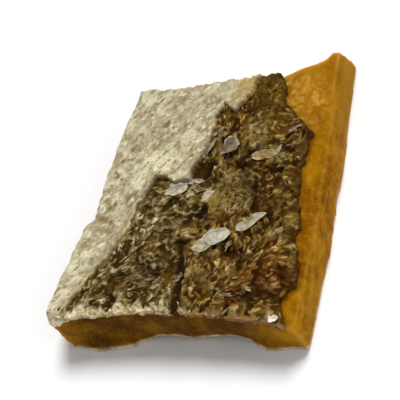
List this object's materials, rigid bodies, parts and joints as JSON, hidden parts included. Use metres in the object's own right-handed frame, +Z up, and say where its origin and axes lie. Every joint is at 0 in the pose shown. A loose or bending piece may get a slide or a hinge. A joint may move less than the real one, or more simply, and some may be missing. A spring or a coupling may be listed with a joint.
{
  "type": "dried salmon cube",
  "caption": "Flat square cut of dried salmon, amber flesh below and scaly skin above with a pale band, a torn crease and loose scales; lies flesh side down.",
  "frame": {"origin": "middle of the box's underside, on the plane that the flesh rests on", "axes": "+Z up through the thickness to the skin, -Y towards the hollow front cut, +X towards the cut where flesh shows beside the skin"},
  "size_m": [0.0398, 0.0458, 0.0088],
  "materials": {
    "flesh": "dried oily fish flesh: translucent amber, satin, faintly speckled, with lighter thin edges",
    "skin": "dried salmon skin: dark brown scale pockets with tan rims, and a smooth cream band with fine dark dots",
    "loose_scale": "loose fish scale: thin, silvery white, slightly glossy"
  },
  "bodies": {
    "root": {"flesh": "flesh", "skin": "skin"}
  },
  "joints": []
}
